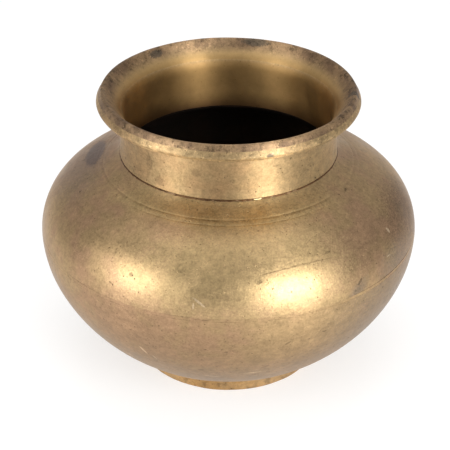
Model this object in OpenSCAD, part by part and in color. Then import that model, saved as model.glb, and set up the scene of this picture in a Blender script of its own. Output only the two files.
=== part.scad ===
// Brass kalash: a round-bellied water pot, cast in four pieces and brazed together.
// Every piece is turned about the Z axis. The pot stands on z = 0.

/* [Foot ring] */
// Outside diameter of the face that the pot stands on
foot_d = 83.4; // [70:0.1:110]
// Height of the foot ring
foot_h = 7; // [6:0.1:12]
// Width of the face that the pot stands on
foot_w = 4.1; // [3.5:0.1:6]
// How much wider the ring's radius is at its top than at its bottom
foot_taper = 0.5; // [0:0.1:1.5]
// Width of the ring's top face, which carries the bowl
foot_land = 2.5; // [2:0.1:3]

/* [Body] */
// Diameter across the widest part of the belly
belly_d = 170; // [140:1:210]
// Height of the widest part above the ground
belly_z = 65.3; // [52:0.1:80]
// Height from the widest part up to the neck seam
shoulder_h = 37.7; // [31:0.1:50]
// Thickness of the bowl's and the shoulder's wall
body_wall = 2.2; // [1.8:0.1:3]
// Thickness of the bowl's flat base
base_t = 2.8; // [2:0.1:4]
// Depth of the hollow under the base
base_hollow = 4.2; // [3:0.1:5]
// Height over which the bowl's inside turns into its flat base
dish_rise = 5; // [4:0.1:8]
// Width of that turn
dish_turn = 4; // [3:0.1:8]

/* [Body curve] */
// How far the belly's fullness runs down, as a share of the bowl's height
bowl_fullness = 0.35; // [0.2:0.01:0.5]
// How far in the lower control point lies, as a share of the bowl's flare
bowl_reach = 0.41; // [0.3:0.01:0.6]
// How high the lower control point lies, as a share of the bowl's height
bowl_lift = 0.21; // [0.15:0.01:0.3]
// How far the belly's fullness runs up, as a share of the shoulder's height
shoulder_fullness = 0.695; // [0.5:0.005:0.75]
// How far in the upper control point lies, as a share of the shoulder's width
shoulder_reach = 0.773; // [0.6:0.001:0.9]
// How far below the neck the upper control point lies, as a share of the shoulder's height
shoulder_drop = 0.215; // [0.1:0.005:0.3]

/* [Neck and lip] */
// Outside diameter of the neck
neck_d = 96.2; // [80:0.1:116]
// Thickness of the neck's wall
neck_wall = 1.9; // [1.6:0.1:2.5]
// Height from the neck seam to the crest of the lip
neck_h = 29.8; // [24:0.1:36]
// How far the neck's bottom edge stands out
neck_flare = 0.5; // [0.3:0.1:1]
// Height over which the neck flares to that edge
neck_flare_h = 5; // [3:0.1:8]
// How far the lip stands out from the neck
lip_overhang = 10; // [8:0.1:13]
// Depth of the lip from its crest to its underside
lip_depth = 7; // [6.5:0.1:9]
// Height of the lip's upright outer edge
lip_edge_h = 1.2; // [1:0.1:2]
// Bevel between the lip's outer edge and its underside
lip_bevel = 1.4; // [1:0.1:2]
// Radius of the fillet between the neck and the lip's underside
under_lip_r = 2.5; // [1.5:0.1:3]
// How far the middle of the lip's crest lies inside its outer edge
crest_inset = 3.1; // [2.5:0.1:4]
// Width of the crest, before its edges are rounded
crest_w = 1.4; // [1.2:0.1:2]
// Radius that rounds the lip's edges
lip_round = 0.9; // [0.5:0.1:1]
// Height of the throat's flare below the crest
flare_h = 8.2; // [7:0.1:10]
// Radius of the bend from the throat into the flare
flare_bend_r = 8; // [5:0.5:10]

/* [Joints] */
// Height of the belly seam above the widest part
belly_seam_rise = 1.7; // [0.5:0.1:4]
// Length of the shoulder's tongue inside the bowl
lap_h = 4; // [3:0.1:6]
// Length of the neck's spigot inside the shoulder's mouth
spigot_h = 1.2; // [1:0.1:4]
// How much deeper the shoulder's mouth is than the spigot
mouth_spare = 1.2; // [0.5:0.1:2]
// How far the body's two ends stand out from the foot ring and the neck
corner_step = 0.3; // [0.2:0.1:0.5]
// Clearance that the brazing metal runs into
joint_gap = 0.1; // [0.05:0.01:0.2]
// Depth of the brazed groove around the belly
groove_depth = 0.7; // [0.4:0.1:0.8]
// Width of the brazed groove around the belly
groove_w = 1.6; // [1:0.1:2]
// Leg of the brazed bead around the neck
neck_bead = 0.8; // [0.5:0.1:1]
// Leg of the brazed fillet around the foot
foot_bead = 1.2; // [0.8:0.1:2]

/* [Scribed rings] */
// How far the upper scribed ring lies below the neck seam
scribe_drop = 5.2; // [4:0.1:8]
// Height between the two scribed rings
scribe_pitch = 1.1; // [0.8:0.1:2]
// Radius of the tool that cuts them
scribe_tool_r = 0.5; // [0.3:0.1:0.8]
// Depth of the cut
scribe_depth = 0.2; // [0.1:0.05:0.3]

/* [Hidden] */
$fn = 96;
CURVE_STEPS = 26;   // straight steps in each of the body's two curves
CORNER_STEPS = 6;   // straight steps in a rounded corner
SEARCH_STEPS = 26;  // halvings in the search for a height on the body's curve
NEAR = 0.05;        // share of a step that counts as none
FLARE_BLEND = 12;   // radius that blends the neck into its flared bottom edge

BRASS = [0.72, 0.58, 0.38];
BRASS_LIGHT = [0.80, 0.66, 0.43];
BRASS_ORANGE = [0.76, 0.57, 0.31];
FILLER = [0.36, 0.27, 0.16];

// Foot and base
foot_r = foot_d / 2;
foot_top_r = foot_r + foot_taper;
socket_r = foot_top_r - foot_land;
base_r = socket_r - joint_gap;
bowl_start_r = foot_top_r + corner_step;

// Body
belly_r = belly_d / 2;
seam_z = belly_z + shoulder_h;
neck_r = neck_d / 2;
mouth_corner_r = neck_r + corner_step;
bowl_h = belly_z - foot_h;
bowl_flare = belly_r - bowl_start_r;
shoulder_w = belly_r - mouth_corner_r;
LOWER_CURVE = [
    [bowl_start_r, foot_h],
    [belly_r - bowl_reach * bowl_flare, foot_h + bowl_lift * bowl_h],
    [belly_r, belly_z - bowl_fullness * bowl_h],
    [belly_r, belly_z]
];
UPPER_CURVE = [
    [belly_r, belly_z],
    [belly_r, belly_z + shoulder_fullness * shoulder_h],
    [belly_r - shoulder_reach * shoulder_w, seam_z - shoulder_drop * shoulder_h],
    [mouth_corner_r, seam_z]
];

// Neck and lip
throat_r = neck_r - neck_wall;
lip_r = neck_r + lip_overhang;
crest_z = seam_z + neck_h;
crest_r = lip_r - crest_inset;
spigot_r = neck_r - neck_wall / 2;
mouth_r = spigot_r + joint_gap;
mouth_depth = spigot_h + mouth_spare;
under_lip_z = crest_z - lip_depth;

// Points on a cubic curve, and its direction there
function on_curve(c, t) =
    pow(1 - t, 3) * c[0] + 3 * pow(1 - t, 2) * t * c[1] + 3 * (1 - t) * t * t * c[2] + pow(t, 3) * c[3];
function along_curve(c, t) =
    pow(1 - t, 2) * (c[1] - c[0]) + 2 * (1 - t) * t * (c[2] - c[1]) + t * t * (c[3] - c[2]);

// A point of the body's wall: s runs 0 to 1 up the bowl and 1 to 2 up the shoulder,
// and depth is measured inwards from the outside surface
function inwards(d) = [-d[1], d[0]] / norm(d);
function beside(c, t, depth) = on_curve(c, t) + depth * inwards(along_curve(c, t));
function wall_point(s, depth) =
    s < 1 ? beside(LOWER_CURVE, s, depth) : beside(UPPER_CURVE, s - 1, depth);

// The place s at which the wall, at that depth, is at height z
function place_at(z, depth, low = 0, high = 2, left = SEARCH_STEPS) =
    let (mid = (low + high) / 2)
    left == 0 ? mid
    : wall_point(mid, depth)[1] < z ? place_at(z, depth, mid, high, left - 1)
    : place_at(z, depth, low, mid, left - 1);

// The wall's points from one place to another: both ends, and every whole step between them
function wall_path(from, to, depth) =
    let (
        up = to > from,
        first = up ? floor(from * CURVE_STEPS + NEAR) + 1 : ceil(from * CURVE_STEPS - NEAR) - 1,
        last = up ? ceil(to * CURVE_STEPS - NEAR) - 1 : floor(to * CURVE_STEPS + NEAR) + 1
    )
    [
        wall_point(from, depth),
        for (i = [first : up ? 1 : -1 : last]) wall_point(i / CURVE_STEPS, depth),
        wall_point(to, depth)
    ];

// A point on the body's outside, on the straight step from one place towards another
function on_step(from, to, distance) =
    let (a = wall_point(from, 0), b = wall_point(to, 0))
    a + distance * (b - a) / norm(b - a);

// An outline whose corners are [point, radius], each rounded by an arc
function turned(v, a) = [v[0] * cos(a) - v[1] * sin(a), v[0] * sin(a) + v[1] * cos(a)];
function rounded(a, b, c, r) =
    let (
        u = (a - b) / norm(a - b),
        v = (c - b) / norm(c - b),
        half = acos(u * v) / 2,
        centre = b + (u + v) / norm(u + v) * r / sin(half),
        first = b + u * r / tan(half) - centre,
        sweep = sign(cross(b - a, c - b)) * (180 - 2 * half)
    )
    [for (i = [0 : CORNER_STEPS]) centre + turned(first, sweep * i / CORNER_STEPS)];
function outline(corners) =
    let (n = len(corners))
    [for (i = [0 : n - 1])
        let (corner = corners[i])
        each corner[1] == 0
            ? [corner[0]]
            : rounded(corners[(i + n - 1) % n][0], corner[0], corners[(i + 1) % n][0], corner[1])];

// Belly joint: the shoulder's tongue lies inside the bowl's edge
lap_z = belly_z + belly_seam_rise;
seam_r = wall_point(place_at(lap_z, 0), 0)[0];
lap_r = seam_r - body_wall / 2;
groove_root = [seam_r - groove_depth, lap_z];
groove_low = place_at(lap_z - groove_w / 2, 0);
groove_high = place_at(lap_z + groove_w / 2, 0);

// Neck joint: the collar's edge is cut back over the shoulder's land, to take the bead
collar_edge_r = neck_r + neck_flare;
bead_in = [collar_edge_r - neck_bead, seam_z];
bead_top = [collar_edge_r, seam_z + neck_bead];
bead_out = on_step(2, 2 - 1 / CURVE_STEPS, neck_bead / 2);

// Foot joint: the fillet lies between the ring's side and the bowl's first straight step
fillet_low = [foot_top_r - foot_taper * foot_bead / foot_h, foot_h - foot_bead];
fillet_high = on_step(0, 1 / CURVE_STEPS, foot_bead);

// The bowl: a short spigot in the foot ring, the flank, and the outer half of the belly lap
module lower_bowl() {
    ledge_z = lap_z - lap_h - joint_gap;
    floor_z = base_hollow + base_t;
    color(BRASS)
    rotate_extrude()
    polygon(concat(
        [[0, base_hollow], [base_r, base_hollow], [base_r, foot_h]],
        wall_path(0, groove_low, 0),
        [groove_root, [lap_r, lap_z], [lap_r, ledge_z]],
        wall_path(place_at(ledge_z, body_wall), place_at(floor_z + dish_rise, body_wall), body_wall),
        [[base_r - dish_turn, floor_z], [0, floor_z]]
    ));
}

// The shoulder: from its tongue inside the bowl up to the thickened edge of its mouth
module shoulder() {
    color(BRASS)
    difference() {
        rotate_extrude()
        polygon(concat(
            wall_path(groove_high, 2, 0),
            [[mouth_r, seam_z], [mouth_r, seam_z - mouth_depth]],
            wall_path(place_at(seam_z - mouth_depth, body_wall), place_at(lap_z - lap_h, body_wall), body_wall),
            [[lap_r - joint_gap, lap_z - lap_h], [lap_r - joint_gap, lap_z], groove_root]
        ));
        for (drop = [scribe_drop, scribe_drop + scribe_pitch])
            scribed_ring(place_at(seam_z - drop, 0));
    }
}

// The ring of metal that a round-nosed tool cuts away at one place on the wall
module scribed_ring(place) {
    rotate_extrude()
    translate(wall_point(place, scribe_depth - scribe_tool_r))
    circle(r = scribe_tool_r, $fn = 24);
}

// The neck and its flared lip, turned from one casting
module neck_collar() {
    color(BRASS_LIGHT)
    rotate_extrude()
    polygon(outline([
        [[throat_r, seam_z - spigot_h], 0],
        [[spigot_r, seam_z - spigot_h], 0],
        [[spigot_r, seam_z], 0],
        [bead_in, 0],
        [bead_top, 0],
        [[neck_r, seam_z + neck_flare_h], FLARE_BLEND],
        [[neck_r, under_lip_z], under_lip_r],
        [[lip_r - lip_bevel, under_lip_z], lip_round],
        [[lip_r, under_lip_z + lip_bevel], lip_round],
        [[lip_r, under_lip_z + lip_bevel + lip_edge_h], lip_round],
        [[crest_r + crest_w / 2, crest_z], lip_round],
        [[crest_r - crest_w / 2, crest_z], lip_round],
        [[throat_r, crest_z - flare_h], flare_bend_r]
    ]));
}

// The foot: a cast ring with a socket that takes the bowl's base
module foot_ring() {
    color(BRASS_ORANGE)
    rotate_extrude()
    polygon([
        [foot_r - foot_w, 0],
        [foot_r, 0],
        fillet_low,
        [foot_top_r, foot_h],
        [socket_r, foot_h],
        [socket_r, base_hollow],
        [foot_r - foot_w, base_hollow]
    ]);
}

// Brazing metal, filed flush in the groove around the belly
module belly_braze() {
    color(FILLER)
    rotate_extrude()
    polygon([wall_point(groove_low, 0), wall_point(groove_high, 0), groove_root]);
}

// Brazing metal in the corner between the collar's edge and the shoulder
module neck_braze() {
    color(FILLER)
    rotate_extrude()
    polygon([bead_in, [mouth_corner_r, seam_z], bead_out, bead_top]);
}

// Brazing metal in the corner between the foot ring and the bowl
module foot_braze() {
    color(FILLER)
    rotate_extrude()
    polygon([fillet_low, fillet_high, [bowl_start_r, foot_h], [foot_top_r, foot_h]]);
}

lower_bowl();
shoulder();
neck_collar();
foot_ring();
belly_braze();
neck_braze();
foot_braze();
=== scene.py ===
# An old brass kalash: a bellied water pot whose bowl, shoulder, neck and foot ring are
# cast and turned pieces, brazed together. It stands on a pale table in soft studio light.
import math

import bpy
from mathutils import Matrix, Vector


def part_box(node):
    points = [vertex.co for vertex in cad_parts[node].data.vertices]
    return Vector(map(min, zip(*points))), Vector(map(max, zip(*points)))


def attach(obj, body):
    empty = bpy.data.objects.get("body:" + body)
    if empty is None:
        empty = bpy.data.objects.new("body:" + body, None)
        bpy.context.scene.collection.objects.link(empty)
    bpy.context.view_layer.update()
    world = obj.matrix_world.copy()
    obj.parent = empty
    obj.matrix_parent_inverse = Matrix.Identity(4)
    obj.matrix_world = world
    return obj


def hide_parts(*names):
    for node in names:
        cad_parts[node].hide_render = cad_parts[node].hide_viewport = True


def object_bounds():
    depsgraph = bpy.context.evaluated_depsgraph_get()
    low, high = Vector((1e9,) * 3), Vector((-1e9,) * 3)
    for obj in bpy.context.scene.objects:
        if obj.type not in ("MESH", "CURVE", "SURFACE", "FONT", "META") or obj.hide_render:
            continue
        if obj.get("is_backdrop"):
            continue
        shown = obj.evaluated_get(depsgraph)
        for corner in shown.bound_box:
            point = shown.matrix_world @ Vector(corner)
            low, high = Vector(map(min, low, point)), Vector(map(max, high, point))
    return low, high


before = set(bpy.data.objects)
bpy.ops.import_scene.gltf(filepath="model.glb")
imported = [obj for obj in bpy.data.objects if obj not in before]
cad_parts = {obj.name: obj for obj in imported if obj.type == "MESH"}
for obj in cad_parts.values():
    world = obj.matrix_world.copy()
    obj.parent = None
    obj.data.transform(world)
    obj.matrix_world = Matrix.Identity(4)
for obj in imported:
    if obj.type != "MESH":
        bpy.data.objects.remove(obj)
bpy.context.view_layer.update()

# ---------------------------------------------------------------------------
# Camera, table and light
# A long lens looks down on the pot by 30 degrees. Two soft boxes stand on the white
# light table, each with a brighter middle, and a large one hangs overhead.
# ---------------------------------------------------------------------------
CAMERA_DISTANCE = 0.7
CAMERA_DOWN = math.radians(30.13)
CAMERA_SIDE = -0.00157
AIM_HEIGHT = 0.0633

bpy.ops.object.camera_add()
camera = bpy.context.object
camera.location = (
    CAMERA_SIDE,
    -CAMERA_DISTANCE * math.cos(CAMERA_DOWN),
    AIM_HEIGHT + CAMERA_DISTANCE * math.sin(CAMERA_DOWN),
)
camera.rotation_euler = (math.pi / 2 - CAMERA_DOWN, 0, 0)
camera.data.sensor_width = 36
camera.data.lens = 121.88
camera.data.clip_start = 0.01
bpy.context.scene.camera = camera

bpy.ops.mesh.primitive_plane_add(size=8)
table = bpy.context.object
table.name = "table"
table_paint = bpy.data.materials.new("white_table")
table_paint.use_nodes = True
paint = table_paint.node_tree.nodes["Principled BSDF"]
paint.inputs["Base Color"].default_value = (0.5, 0.5, 0.5, 1)
paint.inputs["Roughness"].default_value = 0.9
paint.inputs["Emission Color"].default_value = (1, 1, 1, 1)
paint.inputs["Emission Strength"].default_value = 0.55
table.data.materials.append(table_paint)
table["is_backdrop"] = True


def softbox(name, azimuth, elevation, distance, width, height, power):
    """A soft box that faces the pot. Azimuth 0 is at the camera's side, and 90 is to the right."""
    turn, rise = math.radians(azimuth), math.radians(elevation)
    level = math.cos(rise)
    away = Vector((math.sin(turn) * level, -math.cos(turn) * level, math.sin(rise)))
    bpy.ops.object.light_add(type="AREA", location=Vector((0, 0, 0.03)) + distance * away)
    light = bpy.context.object
    light.name = name
    light.rotation_euler = away.to_track_quat("Z", "Y").to_euler()
    light.data.shape = "RECTANGLE"
    light.data.size = width
    light.data.size_y = height
    light.data.energy = power


softbox("left_box", azimuth=-55, elevation=19, distance=0.7, width=0.76, height=0.46, power=1.5)
softbox("left_lamp", azimuth=-55, elevation=18, distance=0.68, width=0.3, height=0.5, power=1.15)
softbox("right_box", azimuth=36, elevation=19, distance=0.7, width=0.7, height=0.46, power=1.9)
softbox("right_lamp", azimuth=36, elevation=18, distance=0.68, width=0.27, height=0.5, power=2.1)
softbox("overhead_box", azimuth=180, elevation=75, distance=1.3, width=1.1, height=0.9, power=4.2)

world = bpy.data.worlds.new("studio")
bpy.context.scene.world = world
world.use_nodes = True
world.node_tree.nodes["Background"].inputs["Color"].default_value = (1, 1, 1, 1)
world.node_tree.nodes["Background"].inputs["Strength"].default_value = 0.6
bpy.context.scene.view_settings.view_transform = "Standard"
bpy.context.scene.view_settings.look = "None"

# ---------------------------------------------------------------------------
# Lower bowl
# The bottom half of the body, cast in brass and turned inside and out. Its flat
# base sits in the foot ring, and its edge is cut back inside to lap the shoulder.
# ---------------------------------------------------------------------------
MM = 0.001
MERGE = 0.00002

foot_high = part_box("foot_ring")[1]
bowl_low, bowl_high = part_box("lower_bowl")
shoulder_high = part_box("shoulder")[1]
collar_low, collar_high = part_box("neck_collar")
seam_low, seam_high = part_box("belly_braze")

belly_r = bowl_high.x
belly_seam_z = (seam_low.z + seam_high.z) / 2
belly_z = belly_seam_z - 1.7 * MM
foot_h = foot_high.z
foot_top_r = foot_high.x
bowl_start_r = foot_top_r + 0.3 * MM
neck_seam_z = shoulder_high.z
neck_seam_r = 48.4 * MM
body_wall = 2.2 * MM

bowl_h = belly_z - foot_h
bowl_flare = belly_r - bowl_start_r
shoulder_h = neck_seam_z - belly_z
shoulder_w = belly_r - neck_seam_r
BOWL_CURVE = (
    Vector((bowl_start_r, foot_h)),
    Vector((belly_r - 0.41 * bowl_flare, foot_h + 0.21 * bowl_h)),
    Vector((belly_r, belly_z - 0.35 * bowl_h)),
    Vector((belly_r, belly_z)),
)
SHOULDER_CURVE = (
    Vector((belly_r, belly_z)),
    Vector((belly_r, belly_z + 0.695 * shoulder_h)),
    Vector((belly_r - 0.773 * shoulder_w, neck_seam_z - 0.215 * shoulder_h)),
    Vector((neck_seam_r, neck_seam_z)),
)


def uphill(place):
    """The direction in which the body's outline climbs."""
    a, b, c, d = BOWL_CURVE if place < 1 else SHOULDER_CURVE
    t = place if place < 1 else place - 1
    along = (1 - t) ** 2 * (b - a) + 2 * (1 - t) * t * (c - b) + t * t * (d - c)
    return along.normalized()


def wall(place, depth=0.0):
    """A point (radius, height) of the body. Place runs 0 to 1 up the bowl and on to 2 up the shoulder."""
    a, b, c, d = BOWL_CURVE if place < 1 else SHOULDER_CURVE
    t = place if place < 1 else place - 1
    point = (1 - t) ** 3 * a + 3 * (1 - t) ** 2 * t * b + 3 * (1 - t) * t * t * c + t**3 * d
    along = uphill(place)
    return point + depth * Vector((-along.y, along.x))


def place_at(height, depth=0.0):
    """The place at which the wall reaches a height."""
    low, high = 0.0, 2.0
    for _ in range(30):
        middle = (low + high) / 2
        if wall(middle, depth).y < height:
            low = middle
        else:
            high = middle
    return low


def wall_rings(start, end, count, depth=0.0):
    """Rings evenly along the wall from one place to another, both included."""
    return [wall(start + (end - start) * i / count, depth) for i in range(count + 1)]


def turned(name, rings, sides=96):
    """Draws a ring of metal out through each (radius, height) in turn, as a lathe would shape it."""
    bpy.ops.object.select_all(action="DESELECT")
    at = Vector((max(rings[0][0], MERGE / 4), rings[0][1]))
    bpy.ops.mesh.primitive_circle_add(vertices=sides, radius=at.x, location=(0, 0, at.y))
    piece = bpy.context.object
    piece.name = piece.data.name = name
    bpy.ops.object.transform_apply(location=True)
    bpy.ops.object.mode_set(mode="EDIT")
    bpy.ops.mesh.select_all(action="SELECT")
    for radius, height in rings[1:]:
        radius = max(radius, MERGE / 4)
        rise = {"value": (0, 0, height - at.y)}
        bpy.ops.mesh.extrude_region_move(TRANSFORM_OT_translate=rise)
        grow = radius / at.x
        bpy.ops.transform.resize(value=(grow, grow, 1), center_override=(0, 0, height))
        at = Vector((radius, height))
    bpy.ops.mesh.select_all(action="SELECT")
    bpy.ops.mesh.remove_doubles(threshold=MERGE)
    bpy.ops.mesh.normals_make_consistent(inside=False)
    bpy.ops.object.mode_set(mode="OBJECT")
    bpy.ops.object.shade_smooth()
    return piece


def smoothed(piece, levels=2):
    """Rounds the turned cage into its finished surface."""
    rounding = piece.modifiers.new("rounding", "SUBSURF")
    rounding.levels = rounding.render_levels = levels
    bpy.ops.object.modifier_apply(modifier=rounding.name)


def uneven(piece, spread, depth):
    """Leaves the casting a little uneven: waves about as wide as spread, and depth high."""
    waves = bpy.data.textures.new(piece.name + "_waves", "CLOUDS")
    waves.noise_scale = spread
    waves.noise_depth = 1
    push = piece.modifiers.new("waves", "DISPLACE")
    push.texture = waves
    push.texture_coords = "LOCAL"
    push.strength = depth
    bpy.ops.object.modifier_apply(modifier=push.name)


class Reading:
    """A number or colour that a finish works out. Numbers add, subtract and multiply."""

    def __init__(self, finish, socket):
        self.finish = finish
        self.socket = socket

    def sum(self, operation, a, b=0.0):
        return self.finish.add("ShaderNodeMath", {"operation": operation}, {0: a, 1: b})

    def __add__(self, other):
        return self.sum("ADD", self, other)

    __radd__ = __add__

    def __sub__(self, other):
        return self.sum("SUBTRACT", self, other)

    def __rsub__(self, other):
        return self.sum("SUBTRACT", other, self)

    def __mul__(self, other):
        return self.sum("MULTIPLY", self, other)

    __rmul__ = __mul__

    def __truediv__(self, other):
        return self.sum("DIVIDE", self, other)

    def __abs__(self):
        return self.sum("ABSOLUTE", self)

    def __pow__(self, other):
        return self.sum("POWER", self, other)

    def either(self, other):
        return self.sum("MAXIMUM", self, other)

    def step(self, low, high):
        """Runs smoothly from 0 at low to 1 at high, whichever of the two is the larger."""
        ends = {0: self, 1: min(low, high), 2: max(low, high)}
        if low > high:
            ends.update({3: 1.0, 4: 0.0})
        return self.finish.add("ShaderNodeMapRange", {"interpolation_type": "SMOOTHSTEP"}, ends)


class Finish:
    """One metal's finish: its nodes come from add, and colours are laid over each other."""

    def __init__(self, name):
        self.material = bpy.data.materials.new(name)
        self.material.use_nodes = True
        self.tree = self.material.node_tree
        self.surface = self.tree.nodes["Principled BSDF"]
        self.place = self.add("ShaderNodeTexCoord", output="Object")
        axes = [self.add("ShaderNodeSeparateXYZ", {}, {0: self.place}, i) for i in range(3)]
        self.x, self.y, self.z = axes
        self.radius = (self.x * self.x + self.y * self.y) ** 0.5
        self.rag = self.grain(1400, 3.0)

    def add(self, kind, settings=None, values=None, output=0):
        node = self.tree.nodes.new(kind)
        for name, value in (settings or {}).items():
            setattr(node, name, value)
        for name, value in (values or {}).items():
            self.feed(node.inputs[name], value)
        return Reading(self, node.outputs[output])

    def feed(self, socket, value):
        if isinstance(value, Reading):
            self.tree.links.new(value.socket, socket)
        elif socket.type == "RGBA":
            socket.default_value = (*value, 1)
        else:
            socket.default_value = value

    def lay(self, under, over, share):
        """Lays one colour over another, by a share from 0 to 1."""
        return self.add("ShaderNodeMix", {"data_type": "RGBA"}, {0: share, 6: under, 7: over}, 2)

    def tint(self, over, share):
        """Lays a colour over the metal's own, by a share from 0 to 1."""
        self.colour = self.lay(self.colour, over, share)

    def shade(self, colour, gain):
        """Makes a colour lighter or darker."""
        return self.add("ShaderNodeVectorMath", {"operation": "SCALE"}, {0: colour, 3: gain})

    def grain(self, scale, detail=2.0, rough=0.5, shift=0.0):
        """Cloudy noise between 0 and 1, with about scale blots to the metre."""
        values = {
            "Vector": self.place,
            "W": shift,
            "Scale": scale,
            "Detail": detail,
            "Roughness": rough,
        }
        return self.add("ShaderNodeTexNoise", {"noise_dimensions": "4D"}, values)

    def rings(self, per_metre, around, detail=2.0):
        """Noise drawn out into rings, as a lathe leaves it, with around blots to the radian."""
        circle = {
            0: self.x / self.radius * around,
            1: self.y / self.radius * around,
            2: self.radius * per_metre,
        }
        values = {
            "Vector": self.add("ShaderNodeCombineXYZ", {}, circle),
            "W": self.z * per_metre,
            "Scale": 1.0,
            "Detail": detail,
            "Roughness": 0.6,
        }
        return self.add("ShaderNodeTexNoise", {"noise_dimensions": "4D"}, values)

    def pits(self, scale, share, size):
        """Small round pits in a share of the cells, scale of which fit in a metre, each size of a cell."""
        cells = {"Vector": self.place, "Scale": scale}
        near = self.add("ShaderNodeTexVoronoi", {}, cells) + (self.rag - 0.5) * 0.35
        colour = self.add("ShaderNodeTexVoronoi", {}, cells, "Color")
        pick = self.add("ShaderNodeSeparateColor", {}, {0: colour})
        return near.step(size, size * 0.3) * pick.step(1 - share, 1.01 - share)

    def mark(self, angle, seat, wide, tall, tilt=0.0, ragged=1.8, core=0.45):
        """A mark at an angle on a seat (radius, height, uphill), tilted from level. Angles are degrees."""
        turn, lean = math.radians(angle), math.radians(tilt)
        radius, height, up = seat
        out = Vector((math.sin(turn), -math.cos(turn), 0))
        level = Vector((math.cos(turn), math.sin(turn), 0))
        climb = out * up[0] + Vector((0, 0, up[1]))
        centre = out * radius + Vector((0, 0, height))
        across = level * math.cos(lean) + climb * math.sin(lean)
        along = climb * math.cos(lean) - level * math.sin(lean)
        reach = max(wide, tall, 6 * MM)
        far = (self.rag - 0.5) * ragged
        for axis, half in ((across, wide / 2), (along, tall / 2), (across.cross(along), reach)):
            dot = {0: self.place, 1: axis / half}
            measure = self.add("ShaderNodeVectorMath", {"operation": "DOT_PRODUCT"}, dot, "Value")
            offset = measure - centre.dot(axis) / half
            far = far + offset * offset
        return far.step(1.15, core)

    def marks(self, *places, ragged=1.8, core=0.45):
        """Several marks as one share, each given as mark takes it. A low core fades their edges."""
        share = self.mark(*places[0], ragged=ragged, core=core)
        for place in places[1:]:
            share = share.either(self.mark(*place, ragged=ragged, core=core))
        return share


def on_body(height):
    """The seat of a mark on the body's outside."""
    place = place_at(height * MM)
    return (*wall(place), uphill(place))


def aged_brass(name, clean, brown, roughness, grain=1.0, pitting=0.2):
    """Old brass, rubbed by hand: drifts of brown tarnish, rubbing rings, grain, flecks and pits."""
    brass = Finish(name)
    brass.broad = brass.grain(21, 2.0)
    brass.blots = brass.grain(120, 3.0)
    brass.mottle = brass.grain(430, 3.0, rough=0.6)
    brass.speckle = brass.grain(1150, 2.0, rough=0.7)
    brass.rubbing = brass.rings(900, 14)
    flecks = brass.grain(760, 2.0, shift=7.0).step(0.64, 0.74)
    pits = brass.pits(620, pitting, 0.24).either(brass.pits(230, pitting * 0.4, 0.16))
    hairs = abs(brass.rings(260, 11, 3.0) - 0.5).step(0.006, 0.001) * brass.blots.step(0.5, 0.62)
    brass.colour = brass.lay(clean, brown, (brass.broad + (brass.blots - 0.5) * 0.7).step(0.36, 0.64))
    gain = 1 + grain * (
        (brass.speckle - 0.5) * 0.4 + (brass.rubbing - 0.5) * 0.12 + (brass.blots - 0.5) * 0.36
    )
    gain = gain + (brass.mottle - 0.5) * (0.42 * grain) - flecks * (0.22 * grain)
    brass.gain = gain - pits * 0.35 + hairs * (0.14 * grain)
    brass.drift = brass.grain(55, 3.0, rough=0.6, shift=11.0)
    brass.rough = roughness + (brass.drift - 0.5) * 0.22
    brass.rough = brass.rough + (brass.blots - 0.5) * 0.2 + (brass.speckle - 0.5) * 0.2
    brass.rough = brass.rough + flecks * 0.1 + pits * 0.2
    brass.relief = brass.rubbing * 0.12 + brass.speckle * 0.4 + brass.mottle * 0.5
    brass.relief = brass.relief - pits * 0.7 - flecks * 0.2
    return brass


def finished(brass, relief=0.00012, metallic=1.0, stretch=0.6, film=0.1):
    """Joins a finish to its surface. Turning stretches its highlights across the rings."""
    bump = {"Height": brass.relief, "Distance": relief}
    surface = brass.surface.inputs
    brass.feed(surface["Base Color"], brass.shade(brass.colour, brass.gain))
    brass.feed(surface["Roughness"], brass.rough)
    brass.feed(surface["Normal"], brass.add("ShaderNodeBump", {}, bump))
    brass.feed(surface["Metallic"], metallic)
    surface["Specular Tint"].default_value = (0.90, 0.84, 0.80, 1)
    surface["Anisotropic"].default_value = stretch
    surface["Anisotropic Rotation"].default_value = 0.25
    surface["Coat Weight"].default_value = film
    surface["Coat Roughness"].default_value = 0.35
    return brass.material


def blackened(piece, inside_shade):
    """Gives the faces that look in at the axis painted shade: the near-black of the pot's dark inside."""
    piece.data.materials.append(inside_shade)
    for face in piece.data.polygons:
        inward = face.normal.xy.dot(face.center.xy.normalized()) < -0.25
        floor = face.normal.z > 0.7 and face.center.z < belly_z / 2
        roof = face.normal.z < -0.7 and face.center.z > belly_z
        if inward or floor or roof:
            face.material_index = len(piece.data.materials) - 1


BODY_CLEAN = (0.420, 0.284, 0.143)
BODY_BROWN = (0.350, 0.219, 0.124)
WORN = (0.78, 0.60, 0.40)
INSIDE_SHADE_BLACK = (0.016, 0.010, 0.006)
INSIDE_SHADE_BROWN = (0.030, 0.016, 0.008)

# Painted shade: the inside of the pot is painted near black.
inside_shade = aged_brass("inside_painted_shade", INSIDE_SHADE_BLACK, INSIDE_SHADE_BROWN, roughness=0.7)
finished(inside_shade, metallic=0.5, film=0.0)

base_r = foot_top_r - 2.6 * MM
base_z = bowl_low.z
floor_z = base_z + 2.8 * MM
seam_half = 0.75 * MM
lap_r = belly_r - body_wall / 2
bowl_edge = place_at(belly_seam_z - seam_half)

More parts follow.
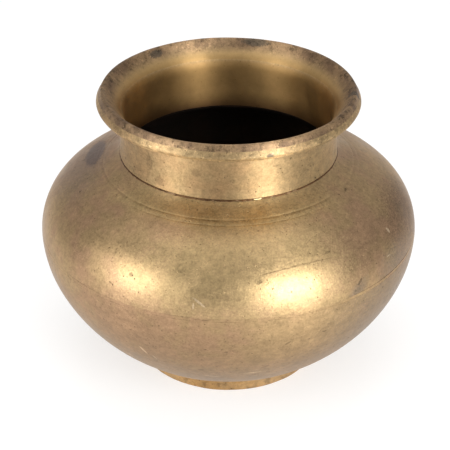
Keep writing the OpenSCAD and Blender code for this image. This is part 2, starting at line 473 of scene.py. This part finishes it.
bowl_rings = [(0, base_z), (2 * MM, base_z), (2.6 * MM, base_z + 0.5 * MM), (3.4 * MM, base_z)]
for groove in (12 * MM, 24 * MM, 33 * MM):
    bowl_rings += [(groove, base_z), (groove + 0.5 * MM, base_z + 0.25 * MM), (groove + MM, base_z)]
bowl_rings += [(base_r - 0.3 * MM, base_z), (base_r, base_z + 0.3 * MM), (base_r, foot_h - 0.3 * MM)]
bowl_rings += [(base_r + 0.3 * MM, foot_h), (bowl_start_r - 0.3 * MM, foot_h)]
bowl_rings += wall_rings(0, 0.97 * bowl_edge, 16)
bowl_rings += [wall(bowl_edge - 0.001), wall(bowl_edge), wall(bowl_edge, 0.04 * MM)]
bowl_rings += [(lap_r, belly_seam_z - seam_half), (lap_r, belly_seam_z - 4.1 * MM)]
bowl_rings += wall_rings(place_at(belly_seam_z - 4.1 * MM, body_wall), 0.14, 12, body_wall)
bowl_rings += [(radius, floor_z) for radius in (base_r - 4 * MM, base_r * 0.6, base_r * 0.2, 0)]

lower_bowl = turned("lower_bowl_cast", bowl_rings)
smoothed(lower_bowl)
uneven(lower_bowl, spread=0.03, depth=0.0003)

bowl_brass = aged_brass("bowl_brass", BODY_CLEAN, BODY_BROWN, roughness=0.39, grain=1.8)
bowl_scars = bowl_brass.marks(
    (-27.7, on_body(41.8), 1.0 * MM, 7 * MM, 25),
    (-24.5, on_body(38.0), 0.8 * MM, 4 * MM, 18),
    (-6.0, on_body(27.0), 7 * MM, 0.8 * MM, -6),
    (8.0, on_body(31.0), 9 * MM, 0.7 * MM, 4),
)
bowl_dark = bowl_brass.marks(
    (-0.7, on_body(49.4), 2.2 * MM, 1.4 * MM, 10),
    (17.5, on_body(52.0), 3.4 * MM, 1.2 * MM, 35),
    (29.0, on_body(54.0), 2.4 * MM, 1.3 * MM, -10),
    (12.0, on_body(36.0), 5.0 * MM, 1.6 * MM, 30),
    (-9.5, on_body(33.5), 3.0 * MM, 1.0 * MM, 0),
)
bowl_flank = bowl_brass.mark(58, on_body(50), 90 * MM, 66 * MM, core=-0.4)
bowl_haze = bowl_brass.mark(-5, on_body(21), 230 * MM, 46 * MM, core=-0.4)
# The bowl is tinted darker and browner towards its bottom.
bowl_darker_low = bowl_brass.z.step(belly_z, belly_z / 2)
bowl_brass.tint((0.30, 0.20, 0.112), bowl_darker_low * 0.55)
bowl_brass.tint((0.23, 0.180, 0.130), bowl_flank * 0.8)
bowl_brass.tint((0.30, 0.225, 0.155), bowl_haze * 0.8)
bowl_brass.tint(WORN, bowl_scars * 0.5)
bowl_brass.gain = bowl_brass.gain - bowl_dark * 0.32
lower_bowl.data.materials.append(finished(bowl_brass))
blackened(lower_bowl, inside_shade.material)
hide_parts("lower_bowl")
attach(lower_bowl, "root")

# ---------------------------------------------------------------------------
# Shoulder
# The top half of the body, cast and turned, with two fine rings scribed on the
# lathe below the neck. Its bottom edge is a tongue inside the bowl.
# ---------------------------------------------------------------------------
SCRIBE_DEPTH = 0.05 * MM
SCRIBE_HALF = 0.009
mouth_r = 47.25 * MM
mouth_low = neck_seam_z - 2.4 * MM


def scribed(place):
    """The rings of a shallow groove across the wall."""
    cut = [wall(place - SCRIBE_HALF / 3, SCRIBE_DEPTH), wall(place + SCRIBE_HALF / 3, SCRIBE_DEPTH)]
    return [wall(place - SCRIBE_HALF)] + cut + [wall(place + SCRIBE_HALF)]


shoulder_edge = place_at(belly_seam_z + seam_half)
lower_scribe = place_at(neck_seam_z - 6.1 * MM)
upper_scribe = place_at(neck_seam_z - 4.9 * MM)
mouth_place = place_at(mouth_low, body_wall)
tongue_z = belly_seam_z - 4 * MM

shoulder_rings = [wall(shoulder_edge, 0.04 * MM), wall(shoulder_edge), wall(shoulder_edge + 0.001)]
shoulder_rings += wall_rings(shoulder_edge + 0.03, lower_scribe - 0.03, 15)
shoulder_rings += scribed(lower_scribe) + scribed(upper_scribe)
shoulder_rings += wall_rings(upper_scribe + 0.03, 1.99, 4)
shoulder_rings += [wall(1.999999), (mouth_r, neck_seam_z), (mouth_r, mouth_low)]
shoulder_rings += wall_rings(mouth_place, place_at(tongue_z, body_wall), 12, body_wall)
shoulder_rings += [(lap_r - 0.1 * MM, tongue_z), (lap_r - 0.1 * MM, belly_seam_z + seam_half)]
shoulder_rings += [shoulder_rings[0]]

shoulder = turned("shoulder_cast", shoulder_rings)
smoothed(shoulder)
uneven(shoulder, spread=0.03, depth=0.0003)

shoulder_brass = aged_brass("shoulder_brass", BODY_CLEAN, BODY_BROWN, roughness=0.37, grain=1.8)
score = shoulder_brass.mark(21, on_body(85.4), 36 * MM, 0.7 * MM, 2.5, 1.6)
score_end = shoulder_brass.mark(33, on_body(86.8), 3.5 * MM, 1.1 * MM, 8)
dark_pits = shoulder_brass.marks(
    (-30.0, on_body(80.3), 2.0 * MM, 2.2 * MM),
    (-73.0, on_body(91.9), 1.6 * MM, 1.2 * MM),
    (-14.5, on_body(100.1), 0.9 * MM, 1.1 * MM),
    (61.0, on_body(97.3), 2.6 * MM, 1.1 * MM, 20),
    (9.0, on_body(82.0), 3.0 * MM, 2.0 * MM, 30),
    (-36.0, on_body(74.5), 3.0 * MM, 0.9 * MM, -20),
    (41.0, on_body(72.5), 4.0 * MM, 1.4 * MM, 38),
)
worn_marks = shoulder_brass.marks(
    (-8.4, on_body(74.6), 7 * MM, 1.1 * MM, -35),
    (-10.0, on_body(72.9), 0.8 * MM, 3.0 * MM),
    (60.7, on_body(83.2), 1.6 * MM, 3.2 * MM, 10),
    (55.5, on_body(75.5), 3.5 * MM, 0.6 * MM),
)
# Painted light: the front of the shoulder, facing the camera, is tinted lighter and yellower.
painted_front_light = shoulder_brass.mark(4, on_body(88), 120 * MM, 52 * MM, core=-0.2)
shoulder_brass.tint((0.54, 0.388, 0.188), painted_front_light * 0.8)
# Painted sheen: a lighter, yellower band on the front of the shoulder just below the neck.
painted_sheen_below_neck = shoulder_brass.z.step(neck_seam_z - 8 * MM, neck_seam_z - 5.5 * MM)
painted_sheen_below_neck = painted_sheen_below_neck * shoulder_brass.mark(-5, on_body(99), 150 * MM, 60 * MM, core=-0.2)
shoulder_brass.tint((0.60, 0.44, 0.205), painted_sheen_below_neck * 0.6)
brown_flank = shoulder_brass.mark(78, on_body(81), 60 * MM, 36 * MM, core=-0.3)
shoulder_brass.tint((0.16, 0.095, 0.052), brown_flank * 0.95)
cool = shoulder_brass.marks(
    (60, on_body(69), 38 * MM, 24 * MM),
    (40, on_body(69), 18 * MM, 8 * MM, 30),
    core=-0.3,
)
shoulder_brass.tint((0.21, 0.162, 0.115), cool * 0.8)
# Painted shade: a broad dim brown zone on the far left of the shoulder, and in it a painted dark
# reflection, a lilac-grey patch.
painted_left_shade = shoulder_brass.mark(-90, on_body(93), 60 * MM, 34 * MM, core=-0.3)
painted_left_reflection = shoulder_brass.mark(-100, on_body(95.5), 30 * MM, 11 * MM, 8, ragged=0.8)
shoulder_brass.tint((0.27, 0.19, 0.135), painted_left_shade * 0.8)
shoulder_brass.tint((0.125, 0.09, 0.078), painted_left_reflection * 0.85)
# Painted highlight and painted shade: a light line along the top scribed ring and a dark line just below
# it, broken up by noise.
painted_ring_glint = abs(shoulder_brass.z - (neck_seam_z - 4.75 * MM)).step(0.3 * MM, 0.1 * MM)
painted_ring_shade = abs(shoulder_brass.z - (neck_seam_z - 5.2 * MM)).step(0.3 * MM, 0.1 * MM)
turning = shoulder_brass.drift.step(0.38, 0.56)
shoulder_brass.gain = shoulder_brass.gain + (painted_ring_glint * 0.12 - painted_ring_shade * 0.15) * turning
scars = (score * 0.3).either(score_end * 0.35).either(dark_pits * 0.42)
shoulder_brass.gain = shoulder_brass.gain - scars
shoulder_brass.tint(WORN, worn_marks * 0.5)
shoulder.data.materials.append(finished(shoulder_brass))
blackened(shoulder, inside_shade.material)
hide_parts("shoulder")
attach(shoulder, "root")

# ---------------------------------------------------------------------------
# Neck collar
# The neck and its flared lip, turned from one casting. The lip's top is dull and
# stained, and the throat still has its polish. Its bottom edge laps the shoulder.
# ---------------------------------------------------------------------------
neck_r = 48.1 * MM
throat_r = neck_r - 1.9 * MM
lip_r = collar_high.x
crest_z = collar_high.z - 0.1 * MM
crest_r = lip_r - 3.1 * MM
under_lip_z = crest_z - 7 * MM
bend_z = crest_z - 8.2 * MM


def rounded(corners, steps=3):
    """An outline through corners (radius, height, rounding), each rounded by an arc."""
    points = []
    count = len(corners)
    for i, (radius, height, rounding) in enumerate(corners):
        corner = Vector((radius, height))
        if not rounding:
            points.append(corner)
            continue
        back = (Vector(corners[i - 1][:2]) - corner).normalized()
        ahead = (Vector(corners[(i + 1) % count][:2]) - corner).normalized()
        half = back.angle(ahead) / 2
        centre = corner + (back + ahead).normalized() * rounding / math.sin(half)
        start = corner + back * rounding / math.tan(half) - centre
        end = corner + ahead * rounding / math.tan(half) - centre
        for k in range(steps + 1):
            points.append(centre + rounding * start.slerp(end, k / steps))
    return points


def on_neck(height):
    """The seat of a mark on the neck's outside."""
    return (neck_r, height, (0, 1))


collar_rings = rounded(
    [
        (throat_r, collar_low.z, 0.3 * MM),
        (neck_r - 0.95 * MM, collar_low.z, 0.3 * MM),
        (neck_r - 0.95 * MM, neck_seam_z, 0),
        (neck_r - 0.3 * MM, neck_seam_z, 0),
        (neck_r + 0.5 * MM, neck_seam_z + 0.7 * MM, 0.25 * MM),
        (neck_r, neck_seam_z + 5 * MM, 12 * MM),
        (neck_r, neck_seam_z + 12 * MM, 0),
        (neck_r, neck_seam_z + 18 * MM, 0),
        (neck_r, under_lip_z, 2.2 * MM),
        (lip_r - 3.9 * MM, under_lip_z, 0),
        (lip_r - 1.2 * MM, under_lip_z, 1.5 * MM),
        (lip_r, under_lip_z + 2.0 * MM, 1.0 * MM),
        (lip_r - 0.15 * MM, under_lip_z + 3.0 * MM, 1.6 * MM),
        (crest_r + 0.8 * MM, crest_z, 0.9 * MM),
        (crest_r - 0.9 * MM, crest_z, 1.6 * MM),
        (crest_r - 4.2 * MM, crest_z - 3.7 * MM, 0),
        (throat_r, bend_z, 9 * MM),
        (throat_r, neck_seam_z + 12 * MM, 0),
        (throat_r, neck_seam_z + 5 * MM, 0),
    ]
)
collar_rings.append(collar_rings[0])
neck_collar = turned("neck_collar_cast", collar_rings, sides=112)
smoothed(neck_collar)
uneven(neck_collar, spread=0.02, depth=0.00025)

NECK_CLEAN = (0.460, 0.322, 0.162)
NECK_BROWN = (0.42, 0.278, 0.140)
neck_brass = aged_brass("neck_brass", NECK_CLEAN, NECK_BROWN, roughness=0.47, grain=2.2)
wide, high = neck_brass.radius, neck_brass.z
throat = wide.step(throat_r + 1.6 * MM, throat_r + 0.4 * MM)
throat_depth_shade = high.step(neck_seam_z + 8 * MM, neck_seam_z - 3 * MM)
top = (high - (wide - neck_r) * 0.55).step(under_lip_z - 0.4 * MM, under_lip_z)
flange = top * wide.step(crest_r - 6.6 * MM, crest_r - 2.0 * MM)
band = wide.step(lip_r - 1.6 * MM, lip_r - 0.8 * MM) * (1 - top)
scurf = neck_brass.grain(330, 5.0, rough=0.75)
patches = neck_brass.grain(75, 3.0, shift=3.0)
smooth = throat.either(top - flange)
below_crest = high.step(crest_z - 3 * MM, crest_z - 9 * MM)
neck_brass.tint((0.55, 0.366, 0.163), smooth)
neck_brass.tint((0.42, 0.258, 0.10), smooth * below_crest)
# Painted shade: the throat is painted darker towards the bottom of the neck.
neck_brass.tint((0.15, 0.080, 0.034), throat * throat_depth_shade)
dull = neck_brass.lay((0.41, 0.272, 0.150), (0.26, 0.168, 0.100), patches.step(0.42, 0.6))
neck_brass.tint(dull, flange)
polish = 0.75 + (neck_brass.blots - 0.5) * 0.2
neck_brass.gain = neck_brass.gain * (1 - smooth * 0.75) + smooth * polish
scuffs = neck_brass.grain(600, 3.0, rough=0.7, shift=13.0).step(0.56, 0.68)
neck_brass.gain = neck_brass.gain + (scuffs * 0.5 - scurf.step(0.48, 0.66) * 0.55) * flange
neck_brass.gain = neck_brass.gain + ((scurf - 0.5) * 2.0 + scuffs * 0.6) * band
neck_brass.relief = neck_brass.relief * (1 - smooth * 0.7)
verdigris = neck_brass.marks(
    (-140.5, (52.6 * MM, crest_z - 2 * MM, (0.7, 0.7)), 8 * MM, 4 * MM),
    (166.0, (53.5 * MM, crest_z - MM, (0.7, 0.7)), 14 * MM, 4.5 * MM),
    (84.0, (54.5 * MM, crest_z, (1, 0)), 4 * MM, 7 * MM),
    (17.0, (lip_r, under_lip_z + 2.4 * MM, (0, 1)), 3.5 * MM, 2 * MM),
    ragged=2.4,
)
neck_brass.tint((0.12, 0.10, 0.075), verdigris * 0.75)
neck_stains = neck_brass.marks(
    (-16.3, on_neck(115.1 * MM), 5.0 * MM, 4.0 * MM),
    (-44.3, on_neck(114.1 * MM), 4.0 * MM, 8.0 * MM),
    (23.8, on_neck(117.3 * MM), 3.0 * MM, 1.0 * MM),
    (-37.0, on_neck(107.0 * MM), 7.0 * MM, 4.0 * MM),
)
neck_brass.tint((0.22, 0.14, 0.07), neck_stains * 0.45)
neck_brass.rough = neck_brass.rough - (neck_brass.drift - 0.5) * 0.22 * smooth
neck_brass.rough = neck_brass.rough + flange * 0.06 - throat * 0.02 - (top - flange) * 0.11
neck_collar.data.materials.append(finished(neck_brass, stretch=0.9))
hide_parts("neck_collar")
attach(neck_collar, "root")

# ---------------------------------------------------------------------------
# Foot ring
# A cast ring with a socket for the bowl's base. Its brass is more orange than
# the body's, and blotched.
# ---------------------------------------------------------------------------
foot_r = foot_top_r - 0.5 * MM
foot_in_r = foot_r - 4.1 * MM
socket_r = foot_top_r - 2.5 * MM
foot_rings = rounded(
    [
        (foot_in_r, 0.1 * MM, 0.5 * MM),
        (foot_r - 2 * MM, 0.1 * MM, 0),
        (foot_r, 0.1 * MM, 0.6 * MM),
        (foot_r + 0.2 * MM, foot_h * 0.4, 0),
        (foot_top_r, foot_h, 0.3 * MM),
        (socket_r, foot_h, 0),
        (socket_r, base_z, 0),
        (foot_in_r, base_z, 0.3 * MM),
    ]
)
foot_rings.append(foot_rings[0])
foot_ring = turned("foot_ring_cast", foot_rings)
smoothed(foot_ring)
uneven(foot_ring, spread=0.012, depth=0.0003)

FOOT_CLEAN = (0.49, 0.325, 0.165)
FOOT_BROWN = (0.45, 0.27, 0.11)
foot_brass = aged_brass("foot_brass", FOOT_CLEAN, FOOT_BROWN, roughness=0.42, grain=1.5)
foot_blots = foot_brass.grain(330, 3.0, shift=5.0)
foot_brass.gain = foot_brass.gain - foot_blots.step(0.5, 0.66) * 0.3
foot_ring.data.materials.append(finished(foot_brass))
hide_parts("foot_ring")
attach(foot_ring, "root")

# ---------------------------------------------------------------------------
# Brazed seams
# Brazing metal that ran into the three joints: filed flush around the belly,
# dark and chipped under the neck, and a rough fillet between bowl and foot ring.
# ---------------------------------------------------------------------------
belly_rings = [wall(bowl_edge + 0.0004, 0.03 * MM), wall(bowl_edge + 0.0005), wall(bowl_edge + 0.003)]
belly_rings += [wall(place_at(belly_seam_z)), wall(shoulder_edge - 0.003)]
belly_rings += [wall(shoulder_edge - 0.0005), wall(shoulder_edge - 0.0004, 0.03 * MM)]
groove_r = lap_r + 0.3 * MM
groove_half = seam_half * 0.9
belly_rings += [(groove_r, belly_seam_z + groove_half), (groove_r, belly_seam_z - groove_half)]
belly_rings += [belly_rings[0]]
belly_braze = turned("belly_braze_bead", belly_rings)
smoothed(belly_braze)
seam_brass = aged_brass("flush_braze", BODY_CLEAN, BODY_BROWN, roughness=0.38, grain=1.8)
seam_line = abs(seam_brass.z - belly_seam_z).step(0.4 * MM, 0.2 * MM)
gaps = seam_brass.rings(200, 5, 3.0).step(0.54, 0.62) * seam_line
seam_brass.gain = seam_brass.gain - gaps * 0.4
belly_braze.data.materials.append(finished(seam_brass))
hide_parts("belly_braze")
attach(belly_braze, "root")

FILLER_RED = (0.17, 0.090, 0.042)
FILLER_DARK = (0.075, 0.040, 0.020)
filler = aged_brass("brazing_metal", FILLER_RED, FILLER_DARK, roughness=0.55, grain=1.5)
bright_bits = filler.grain(230, 2.0, shift=2.0).step(0.56, 0.64)
spelter = filler.mark(14.4, on_neck(neck_seam_z + 0.8 * MM), 4 * MM, 3 * MM)
filler.tint((0.34, 0.23, 0.13), bright_bits * 0.8)
filler.tint((0.80, 0.66, 0.38), spelter)
finished(filler)

neck_bead_rings = [
    (neck_r - 0.2 * MM, neck_seam_z + 0.05 * MM),
    (neck_r + 0.35 * MM, neck_seam_z - 0.05 * MM),
    (neck_r + 0.62 * MM, neck_seam_z - 0.22 * MM),
    (neck_r + 0.55 * MM, neck_seam_z + 0.2 * MM),
    (neck_r + 0.4 * MM, neck_seam_z + 0.6 * MM),
    (neck_r - 0.2 * MM, neck_seam_z + 0.05 * MM),
]
neck_braze = turned("neck_braze_bead", neck_bead_rings, sides=256)
smoothed(neck_braze, 1)
uneven(neck_braze, spread=0.0016, depth=0.0006)
neck_braze.data.materials.append(filler.material)
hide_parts("neck_braze")
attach(neck_braze, "root")

foot_bead_rings = [
    (foot_top_r - 0.1 * MM, foot_h - 1.2 * MM),
    wall(0.02, -0.02 * MM),
    wall(0, 0.1 * MM),
    (foot_top_r - 0.1 * MM, foot_h),
    (foot_top_r - 0.1 * MM, foot_h - 1.2 * MM),
]
foot_braze = turned("foot_braze_bead", foot_bead_rings, sides=256)
smoothed(foot_braze, 1)
uneven(foot_braze, spread=0.002, depth=0.0004)
foot_braze.data.materials.append(filler.material)
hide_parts("foot_braze")
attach(foot_braze, "root")

low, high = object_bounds()
